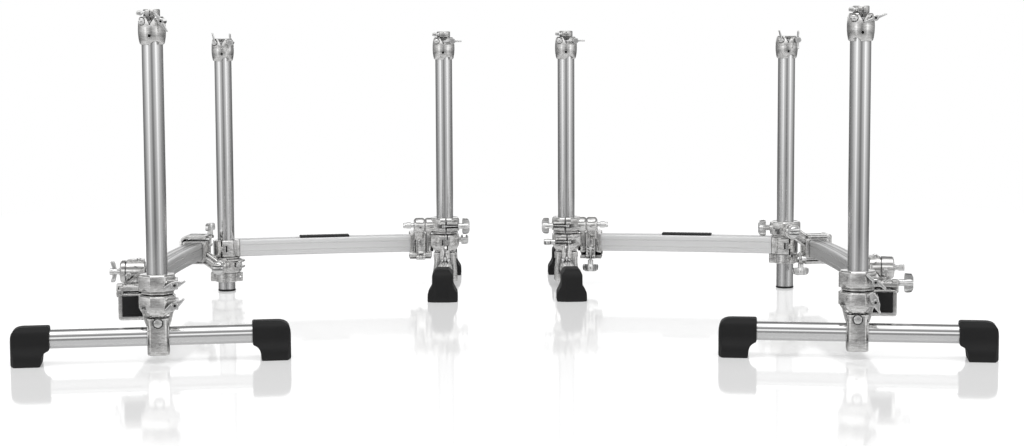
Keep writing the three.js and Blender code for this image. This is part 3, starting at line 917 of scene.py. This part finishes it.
@shape()
def memory_collar():
    """Hinged collar below a ring, with an ear on each side; its top is at the origin."""
    body = turned([(23.6, -22), (25, -20.6), (25, -1.4), (23.6, 0)])
    for start in (-36, 20):
        joined(body, block(start, start + 16, -5.5, 5.5, -21.4, -0.6, 1.6, 3))
    for start in (-50, 15):
        cut(body, block(start, start + 35, -0.6, 0.6, -30, 5))
    return cut(body, rod(BORE, -40, 40, sides=FINE), pin(BOLT_RADIUS, -20, 20, LUG_BOLT, -11))


@shape()
def tube_cap():
    """Plastic cap under the corner upright, with its plug inside the tube."""
    return turned([(18.6, 0), (19.9, 1.2), (19.9, 3), (19.3, 4), (17, 4), (17, 22), (16, 24)])


@shape()
def tube(radius, wall, low, high):
    """Round tube on Z with eased ends."""
    inner, ease = radius - wall, 0.4
    return turned([(radius, low + ease), (radius, high - ease), (radius - ease, high), (inner + ease, high),
                   (inner, high - ease), (inner, low + ease), (inner + ease, low), (radius - ease, low)],
                  FINE, closed=True)


# Bars: square tubes bent on the radius of a circle whose centre is at -X

def along(arc, lift=0):
    """Frame at an arc length along a bar, on its centre or above it."""
    centre = shift(x=-BEND_RADIUS)
    return centre @ Matrix.Rotation(arc / BEND_RADIUS, 4, "Z") @ centre.inverted() @ shift(z=lift)


def bar_outline():
    """Section of a bar: rounded corners, and two shallow grooves along each side."""
    edge, corner = BAR_HALF, 4
    quarter = [(-edge + corner - corner * cos(step * pi / 10), -edge + corner - corner * sin(step * pi / 10))
               for step in range(6)]
    for middle in (-7.5, 7.5):
        quarter += [(middle - 1.2, -edge), (middle - 0.6, -edge + 0.8), (middle + 0.6, -edge + 0.8),
                    (middle + 1.2, -edge)]
    points = []
    for turn in (0, pi / 2, pi, 1.5 * pi):
        points += [(x * cos(turn) - z * sin(turn), x * sin(turn) + z * cos(turn)) for x, z in quarter]
    return points


@shape()
def bar(start, end):
    points = bar_outline()
    bpy.ops.mesh.primitive_circle_add(vertices=len(points), fill_type="NOTHING")
    section = bpy.context.object.data
    for vertex, (x, z) in zip(section.vertices, points):
        vertex.co = (x, 0, z)
    section.transform(along(start))
    open_edit()
    bend = (start - end) / BEND_RADIUS
    bpy.ops.mesh.spin(steps=48, angle=bend, center=(-BEND_RADIUS, 0, 0), axis=(0, 0, 1))
    return shape_with(close_edit(weld=True), "SOLIDIFY", thickness=BAR_WALL, offset=-1)


@shape()
def bar_plug(lip):
    """Plastic end cap: its face is outside on -Y, its plug is in the bar."""
    outer = BAR_HALF - 0.2
    inner = BAR_HALF - BAR_WALL - 0.1
    face = panel(outer, -outer, outer, 3, -lip, 0, min(0.7, 0.4 * lip), 3)
    joined(face, panel(inner, -inner, inner, 3, -0.5, 14, 0.5))
    return cut(face, panel(12.5, -12.5, 12.5, 4, -lip - 1, -lip + 0.5))


@shape()
def bar_pad():
    """Moulded pad on a bar's top, its length along Y."""
    body = curved([(-16, 0), (16, 0), (16, 2.4), (14, 4.2), (-14, 4.2), (-16, 2.4)],
                  [0.5, 0.5, 1.5, 1.5, 1.5, 1.5], -56, 56, 0.8, 3)
    for rib in range(-48, 49, 8):
        cut(body, block(-20, 20, rib - 0.8, rib + 0.8, 3.6, 12))
    return body


@shape()
def accessory_clamp(seam):
    """Two-part clamp over a bar: a level barrel with a seam, on a saddle; +X is the outer side."""
    over_bar = BAR_HALF + 0.2
    body = along_x(turned([(17, -17), (21, -15.5), (22, -13.5), (22, seam - 1.4), (21, seam - 0.9),
                           (19, seam - 0.8), (19, seam + 0.8), (21, seam + 0.9), (22, seam + 1.4),
                           (21.4, 28), (19, 30.4), (17, 31)]))
    joined(move_piece(body, z=ACCESSORY_AXIS),
           block(-25, 25, -15, 15, 14, 32, 3, 3),
           block(-25, -19.4, -13, 13, -8, 18, 2),
           block(19.4, 25, -13, 13, -8, 18, 2),
           block(-15, seam - 3, -9, 9, 60, 65.5, 1.2, 3),
           pin(4.2, -9, 9, -4, 64, 0.6),
           standing([(-14, 24), (seam - 2, 24), (-14, 50)], -24.5, -14, 0.6))
    return cut(body, move_piece(along_x(rod(12, -40, -12)), z=ACCESSORY_AXIS),
               block(-60, 60, -0.5, 0.5, ACCESSORY_AXIS, 80),
               block(-over_bar, over_bar, -40, 40, -30, over_bar), pin(1.7, -40, 40, -4, 64))


# Places: millimetres on the right half, and frames that put a casting there

def shift(x=0, y=0, z=0):
    return Matrix.Translation((x, y, z))


def mirror(x=1, y=1, z=1):
    return Matrix.Diagonal((x, y, z, 1))


def swung(axis, angle):
    return Matrix.Rotation(radians(angle), 4, axis)


def placed(x, y, z, turn):
    return shift(x, y, z) @ Matrix.Rotation(turn, 4, "Z")


def fit(name, mesh, at, body, finish, *nodes):
    """Places a copy of a shape in metres as a piece that rides on a body and stands for CAD nodes."""
    mesh = mesh.copy()
    mesh.transform(Matrix.Scale(MM, 4) @ at)
    if at.determinant() < 0:
        mesh.flip_normals()
    mesh.materials.clear()
    mesh.materials.append(finish.material)
    piece = bpy.data.objects.new(name, mesh)
    bpy.context.scene.collection.objects.link(piece)
    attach(piece, body)
    if nodes:
        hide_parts(*nodes)


def fit_all(node, body, *pieces):
    """Fits pieces on one body, from [name's end, shape, place, finish, CAD nodes]."""
    for name, mesh, at, finish, *nodes in pieces:
        fit(f"{node}_{name}", mesh, at, body, finish, *nodes)


def post_centre(node):
    low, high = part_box(node)
    return tuple((low + high).xy / 2 / MM)


def reach_of(node):
    """A node's lowest and highest point, in millimetres."""
    low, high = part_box(node)
    return low.z / MM, high.z / MM


def add_head(side, post, centre):
    """Upright with its head and, away from the corner, a memory lock."""
    name = f"{side}_{post}"
    corner = post == "corner"
    body = "root" if corner else f"{name}_post"
    wing, lock = f"{name}_head_wing", f"{name}_memory_lock"
    pipe = tube(TUBE_RADIUS, TUBE_WALL, *reach_of(f"{name}_upright"))
    casting = head_casting(corner, RIGHT_OUTER_SCALLOP if name == "right_outer" else HEAD_SCALLOP)
    nut, stand = (bar_nut(), 0) if post == "outer" else (wing_nut(WING_COLLAR), WING_COLLAR)
    top = shift(*centre, HEAD_TOP[post])
    hinge = top @ shift(HEAD_BOSS, -20, HEAD_BOLT)
    hole = top @ shift(0.8 if corner else -0.8, -21.8, HEAD_HOLE)
    fit_all(name, body,
            ("post_tube", pipe, shift(*centre), CHROME, f"{name}_upright"),
            ("head_barrel", casting, top, CASTING, f"{name}_head"),
            ("head_hinge_pin", head_pin(), hinge, STEEL),
            ("head_grub_screw", grub_screw(), hole, PLASTIC))
    seat = top @ shift(21, -13.3 - stand, HEAD_BOLT) @ swung("Y", HEAD_NUT_TURN.get(name, 0))
    fit(f"{name}_head_nut", nut, seat, wing, STEEL, wing)
    if corner:
        fit(f"{name}_head_lever", head_ear(), hinge, body, STEEL)
    else:
        ring = top @ shift(z=0.3)
        fit_all(name, lock,
                ("lock_ring", memory_lock(), ring, CASTING, lock),
                ("lock_key", lock_key(), ring @ shift(*LOCK_BOLT), STEEL))


def add_bolt(node, names, bolt, length, seat, nut, turn, body, *wing):
    """Swing bolt, and at its seat a nut, which may be a moving wing."""
    bolt_name, nut_name = names
    fit(f"{node}_{bolt_name}", swing_bolt(length), bolt, body, STEEL)
    at = bolt @ shift(y=-seat) @ swung("Y", turn)
    fit(f"{node}_{nut_name}", nut, at, wing[0] if wing else body, STEEL, *wing)


def add_lug_nut(node, lugs, body, nut, turn, seat=LUG_SEAT, *wing):
    """Swing bolt through a ring's lugs, longer where it carries a paddle nut."""
    stand, length = (PADDLE_SEAT, PADDLE_BOLT) if nut is paddle_nut else (0, SHORT_BOLT)
    add_bolt(node, LUG_NAMES, lugs @ shift(LUG_BOLT, 5), length, seat + stand, nut(), turn, body, *wing)


def add_leg(side, post, at, ends, lug_turn, nut, turn, slide=0):
    """T leg: split ring, pivot, block, foot tube and two rubber feet."""
    leg = f"{side}_{post}_leg"
    foot = f"{side}_{post}_foot"
    fit(f"{leg}_ring", leg_casting(leg == "left_inner_leg"), at @ lug_turn, leg, CASTING, f"{leg}_casting")
    add_lug_nut(leg, at @ lug_turn @ shift(z=LEG_BOLT), leg, nut, turn, LEG_LUG_SEAT)
    pivot = at @ shift(z=PIVOT_HEIGHT)
    slid = pivot @ shift(x=slide)
    level = slid @ shift(z=FOOT_TUBE_CENTRE - PIVOT_HEIGHT) @ swung("Y", 90)
    pipe = tube(FOOT_TUBE_RADIUS, FOOT_TUBE_WALL, -FOOT_REACH + 10, FOOT_REACH - 10)
    rubbers = [(f"rubber_end_{end}", rubber_foot(), slid @ swung("Z", turn), RUBBER, f"{foot}_rubber_{end}")
               for end, turn in zip(ends, (0, 180))]
    fit_all(foot, foot,
            ("block_casting", foot_block(), pivot, CASTING, f"{foot}_block"),
            ("pivot_pin", pivot_pin(), pivot, STEEL),
            ("chrome_tube", pipe, level, CHROME, f"{foot}_tube"), *rubbers)


def add_clamp(node, body, clamp, ring, frame_sizes, hub, gate, flip, hinge=GATE_HINGE):
    """A rail clamp's castings, hub screw and gate pin; gives the place of its bar."""
    drop = frame_sizes[0]
    square = clamp @ shift(arm_reach(drop), SQUARE_MIDDLE, -drop)
    screw = tilt_screw() if hub == "tilt_screw" else slotted_barrel()
    fit_all(node, body,
            ("ring", ring, clamp, CASTING, node),
            ("frame", square_frame(*frame_sizes), clamp, CASTING),
            (hub, screw, clamp @ shift(y=HUB_END) @ mirror(y=-1), STEEL),
            ("gate", gate, square @ flip, CASTING),
            ("gate_pin", hinge_pin(), square @ flip @ shift(*hinge), STEEL))
    return square


def add_outer_clamp(side, hand, clamp):
    node = f"{side}_outer_rail_clamp"
    sizes = (RAIL_DROP, -SQUARE_OUTER, SQUARE_REST, True)
    square = add_clamp(node, "root", clamp, rail_ring(0, hand), sizes, "hub_bolt", gate_plate(False),
                       mirror(x=hand))
    nut, turn = (lever_nut, 20) if hand > 0 else (plate_nut, -15)
    add_lug_nut(node, clamp @ mirror(x=hand), "root", nut, turn, LUG_SEAT, f"{side}_outer_rail_wing")
    if hand > 0:
        bolt = square @ shift(6, 0, 33.5) @ swung("Z", 90)
        add_bolt(node, GATE_NAMES, bolt, GATE_BOLT, 34, paddle_nut(), 90, "root")


def add_corner_clamp(side, hand, clamp):
    node = f"{side}_corner_rail_clamp"
    ring = rail_ring(-90, 1) if hand > 0 else rail_ring(0, -1)
    sizes = (CORNER_DROP, -SQUARE_REST, SQUARE_REST, False)
    square = add_clamp(node, "root", clamp, ring, sizes, "tilt_screw", gate_hook(), mirror(), HOOK_HINGE)
    if hand > 0:
        add_lug_nut(node, clamp @ swung("Z", -90), "root", paddle_nut, 90)
    else:
        bolt = clamp @ mirror(x=-1, y=-1) @ shift(LUG_BOLT, 2)
        add_bolt(node, LUG_NAMES, bolt, STUB_BOLT, 16.3, hex_head(), 0, "root")
    bolt = square @ shift(-32, 0, -14) @ swung("X", 90)
    add_bolt(node, GATE_NAMES, bolt, GATE_BOLT, 32, paddle_nut(), 0 if hand > 0 else 80, "root")


def add_inner_clamp(side, hand, clamp):
    body = f"{side}_inner_clamp"
    node = f"{side}_inner_rail_clamp"
    flip = mirror(x=-hand, z=-1)
    sizes = (RAIL_DROP, -SQUARE_REST, SQUARE_OUTER, False)
    square = add_clamp(node, body, clamp, rail_ring(0, -1), sizes, "hub_bolt", gate_plate(True), flip)
    fit(f"{node}_strap", strap(), square, body, CASTING)
    add_lug_nut(node, clamp @ mirror(x=-1), body, paddle_nut, 90)
    bolt = square @ flip @ shift(32, 0, 12) @ swung("X", -90)
    end = (GATE_BOLT, 36, paddle_nut(), 90) if hand > 0 else (STUB_BOLT, 23.4, hex_head(), 0)
    add_bolt(node, GATE_NAMES, bolt, *end, body)


def add_bar(side, kind, at, body, ends, plugs):
    """Bar with its own finish, and a plug with a lip in each open end."""
    centre = at @ Vector((-BEND_RADIUS, 0, 0)) * MM
    finish = bar_finish(f"{side}_{kind}_bar_aluminium", (centre.x, centre.y), *BAR_LOOKS[kind])
    fit(f"{side}_{kind}_bar_tube", bar(*ends), at, body, finish, f"{side}_{kind}_bar")
    for name, lip in plugs.items():
        place = along(ends[0]) if name == "near" else along(ends[1]) @ mirror(y=-1)
        fit(f"{side}_{kind}_bar_plug_{name}", bar_plug(lip), at @ place, body, PLASTIC)


def add_half(side, hand):
    middle = (post_centre("left_outer_upright")[0] + post_centre("right_outer_upright")[0]) / 2
    half = shift(x=middle) @ mirror(x=hand)
    places = {post: post_centre(f"{side}_{post}_upright") for post in HEAD_TOP}
    outer, corner, inner = ((hand * (x - middle), y) for x, y in places.values())
    for post, centre in places.items():
        add_head(side, post, centre)

    outer_clamp = half @ placed(*outer, RING_CENTRE, -SIDE_BAR_YAW)
    side_bar = outer_clamp @ shift(arm_reach(RAIL_DROP), SQUARE_MIDDLE, -RAIL_DROP)
    add_outer_clamp(side, hand, outer_clamp)
    turn = SIDE_CLAMP_SPACING / BEND_RADIUS - SIDE_BAR_YAW + pi
    corner_clamp = half @ placed(*corner, BAR_CENTRE + hand * CORNER_DROP, turn) @ mirror(x=-1, z=hand)
    add_corner_clamp(side, hand, corner_clamp)
    add_bar(side, "side", side_bar, "root", SIDE_BAR_ENDS, {"near": CAP_LIP, "far": CAP_LIP})

    front = half @ placed(*corner, BAR_CENTRE, radians(90) - FRONT_BAR_YAW)
    swing = f"{side}_front_wing"
    node = f"{side}_corner_bar_ring"
    fit(f"{node}_casting", bar_ring(), front, swing, CASTING, node)
    add_bar(side, "front", front, swing, FRONT_BAR_ENDS, {"free": FREE_CAP_LIP})
    fit(f"{side}_front_bar_pad", bar_pad(), front @ along(PAD_PLACE, BAR_HALF), swing, PLASTIC)
    turn = radians(90) - FRONT_BAR_YAW + FRONT_CLAMP_REACH / BEND_RADIUS + pi
    add_inner_clamp(side, hand, half @ placed(*inner, RING_CENTRE, turn) @ mirror(x=-1))

    node = f"{side}_corner_memory_collar"
    top = shift(*places["corner"], reach_of(node)[1])
    fit(f"{side}_corner_collar_ring", memory_collar(), top, "root", CASTING, node)
    node = f"{side}_corner_tube_cap"
    fit(f"{side}_corner_plastic_cap", tube_cap(), shift(*places["corner"]), "root", PLASTIC, node)

    outer_leg = half @ placed(*outer, 0, OUTER_LEG_YAW)
    add_leg(side, "outer", outer_leg, ("outboard", "inboard"), mirror(x=hand), plate_nut,
            72 if hand > 0 else -30, OUTER_FOOT_SLIDE[side])
    inner_leg = half @ placed(*inner, 0, INNER_LEG_YAW[side])
    add_leg(side, "inner", inner_leg, ("front", "rear"), mirror(x=hand), paddle_nut, 0 if hand > 0 else 32)

    name = f"{side}_side_bar_accessory"
    at = side_bar @ along(ACCESSORY_PLACE)
    outward = at @ shift(31, 0, ACCESSORY_AXIS) @ swung("Z", 90) @ swung("Y", 20 if hand > 0 else 90)
    fit_all(name, "root",
            ("clamp", accessory_clamp(6 if hand > 0 else 20), at, CASTING),
            ("bolt", hex_head(), at @ shift(14, -22, 37), STEEL),
            ("wing", wing_nut(0), outward, STEEL))


add_half("left", -1)
add_half("right", 1)


# Camera at the photograph's viewing angle

CAMERA_FROM_POST = (-0.6547, -3.64772, 0.64097)
CAMERA_YAW = 0.0033772
CAMERA_PITCH = 0.0965639
CAMERA_ROLL = -0.0049098


def add_camera():
    data = bpy.data.cameras.new("photo_camera")
    data.sensor_width = 36
    data.lens = 70.99
    data.shift_x = 0.00682
    data.shift_y = -0.01987
    data.clip_end = 60
    camera = bpy.data.objects.new("photo_camera", data)
    bpy.context.scene.collection.objects.link(camera)
    bpy.context.scene.camera = camera
    heading = Vector((sin(CAMERA_YAW), cos(CAMERA_YAW), 0))
    level_right = Vector((cos(CAMERA_YAW), -sin(CAMERA_YAW), 0))
    skyward = Vector((0, 0, 1))
    forward = heading * cos(CAMERA_PITCH) - skyward * sin(CAMERA_PITCH)
    upright = skyward * cos(CAMERA_PITCH) + heading * sin(CAMERA_PITCH)
    right = level_right * cos(CAMERA_ROLL) + upright * sin(CAMERA_ROLL)
    upward = upright * cos(CAMERA_ROLL) - level_right * sin(CAMERA_ROLL)
    place = Vector((*post_centre("right_outer_upright"), 0)) * MM + Vector(CAMERA_FROM_POST)
    camera.matrix_world = Matrix.Translation(place) @ Matrix((right, upward, -forward)).transposed().to_4x4()


add_camera()


# Studio: a world in bands, dark behind the camera and bright beside it, and three softboxes

# Stops of [place, shade], of which the second stands last: by compass direction, then by height in front
# of the object and behind it
WORLD_BANDS = [(0, 0.18), (1, 0.06), (0.045, 0.22), (0.07, 0.33), (0.13, 0.42), (0.195, 0.52), (0.26, 0.92),
               (0.33, 0.62), (0.41, 0.5), (0.5, 0.34), (0.59, 0.24), (0.72, 0.15), (0.85, 0.1)]
UPPER_BANDS = [(0.05, 0.4), (1, 1), (0.14, 0.5), (0.22, 1.1), (0.42, 1), (0.5, 0.35), (0.66, 0.26),
               (0.76, 0.4), (0.86, 0.85)]
BACK_BANDS = [(0.05, 0.4), (1, 0.9), (0.42, 0.16), (0.8, 0.2), (0.93, 0.4)]


def studio_world():
    """Shade by compass direction, 0 on the camera's side and 1 straight behind, and by height above it."""
    world = bpy.data.worlds.new("studio")
    bpy.context.scene.world = world
    world.use_nodes = True
    sky = Tree(world.node_tree)
    direction = sky.node("TexCoord", output="Generated")
    x, y, z = (sky.part(direction, axis) for axis in "XYZ")
    sideways = sky.node("Math", {0: x}, operation="ABSOLUTE")
    turn = sky.math("DIVIDE", sky.math("ARCTAN2", sideways, 0 - y), pi)
    wash = sky.clamp(z, -0.12, -0.02) * 0.68 + 0.75
    washed = sky.node("CombineColor", {"Red": wash, "Green": wash, "Blue": wash})
    walls = sky.mix(1, sky.ramp(turn, WORLD_BANDS), washed, blend_type="MULTIPLY")
    upper = sky.mix(sky.clamp(turn, 0.55, 0.75), sky.ramp(z, UPPER_BANDS), sky.ramp(z, BACK_BANDS))
    above = sky.mix(sky.clamp(z, 0.04, 0.14), walls, upper)
    behind = sky.clamp(turn, 0.78, 0.88) * sky.clamp(z, 0.02, 0.06) * sky.clamp(z, 0.36, 0.28)
    backed = sky.mix(behind, above, (1, 1, 1))
    background = sky.tree.nodes["Background"]
    sky.set(background, {"Color": sky.mix(sky.clamp(0 - z, 0.18, 0.4), backed, (0.58, 0.58, 0.58))})
    seen = sky.node("LightPath", output="Is Camera Ray")
    white = sky.node("Background", {"Color": (1, 1, 1, 1)})
    shown = sky.node("MixShader", {0: seen, 1: Value(sky, background.outputs[0]), 2: white})
    sky.set(sky.tree.nodes["World Output"], {0: shown})


SOFTBOX_WATTS = 16
SOFTBOX_AIM = Vector((0, -0.1, 0.3))


def add_softbox(name, place, size, glossy):
    data = bpy.data.lights.new(name, "AREA")
    data.shape = "RECTANGLE"
    data.size, data.size_y = size
    data.energy = SOFTBOX_WATTS
    lamp = bpy.data.objects.new(name, data)
    bpy.context.scene.collection.objects.link(lamp)
    lamp.visible_glossy = glossy
    lamp.location = place
    aim = SOFTBOX_AIM - Vector(place)
    lamp.rotation_euler = aim.to_track_quat("-Z", "Y").to_euler()


studio_world()
add_softbox("softbox_left", (-3.2, -1.0, 1.6), (1.4, 2.2), False)
add_softbox("softbox_right", (3.2, -0.6, 1.7), (1.4, 2.2), False)
add_softbox("softbox_top", (0, -1.05, 3), (3.2, 1.4), True)


# Floor: white and faintly glossy with the object's soft shadow, fading into the white round it

FLOOR_RADIUS = 3
FLOOR_GLOW = 0.3
FLOOR_FADE = (1.35, 2.6)


def add_floor():
    bpy.ops.mesh.primitive_circle_add(vertices=64, radius=FLOOR_RADIUS, fill_type="NGON")
    floor = bpy.context.object
    floor.name = "studio_floor"
    material = bpy.data.materials.new("studio_floor")
    material.use_nodes = True
    tree = Tree(material.node_tree)
    place = tree.node("TexCoord", output="Object")
    reach = tree.node("VectorMath", {0: place}, "Value", operation="LENGTH")
    seen = tree.node("LightPath", output="Is Camera Ray")
    mirrored = tree.node("LightPath", output="Is Glossy Ray") * 0.75
    shader = tree.tree.nodes["Principled BSDF"]
    tree.set(shader, {"Base Color": (0.9, 0.9, 0.9, 1), "Roughness": 0.07, "IOR": 2.15})
    glow = tree.node("Emission", {"Strength": seen * FLOOR_GLOW})
    lit = tree.node("AddShader", {0: Value(tree, shader.outputs[0]), 1: glow})
    rim = tree.node("MixShader", {0: seen, 1: tree.node("BsdfTransparent"), 2: tree.node("Emission")})
    fade = tree.math("MAXIMUM", tree.clamp(reach, *FLOOR_FADE), mirrored)
    tree.set(tree.tree.nodes["Material Output"], {0: tree.node("MixShader", {0: fade, 1: lit, 2: rim})})
    floor.data.materials.append(material)


add_floor()
bpy.context.scene.view_settings.view_transform = "Standard"
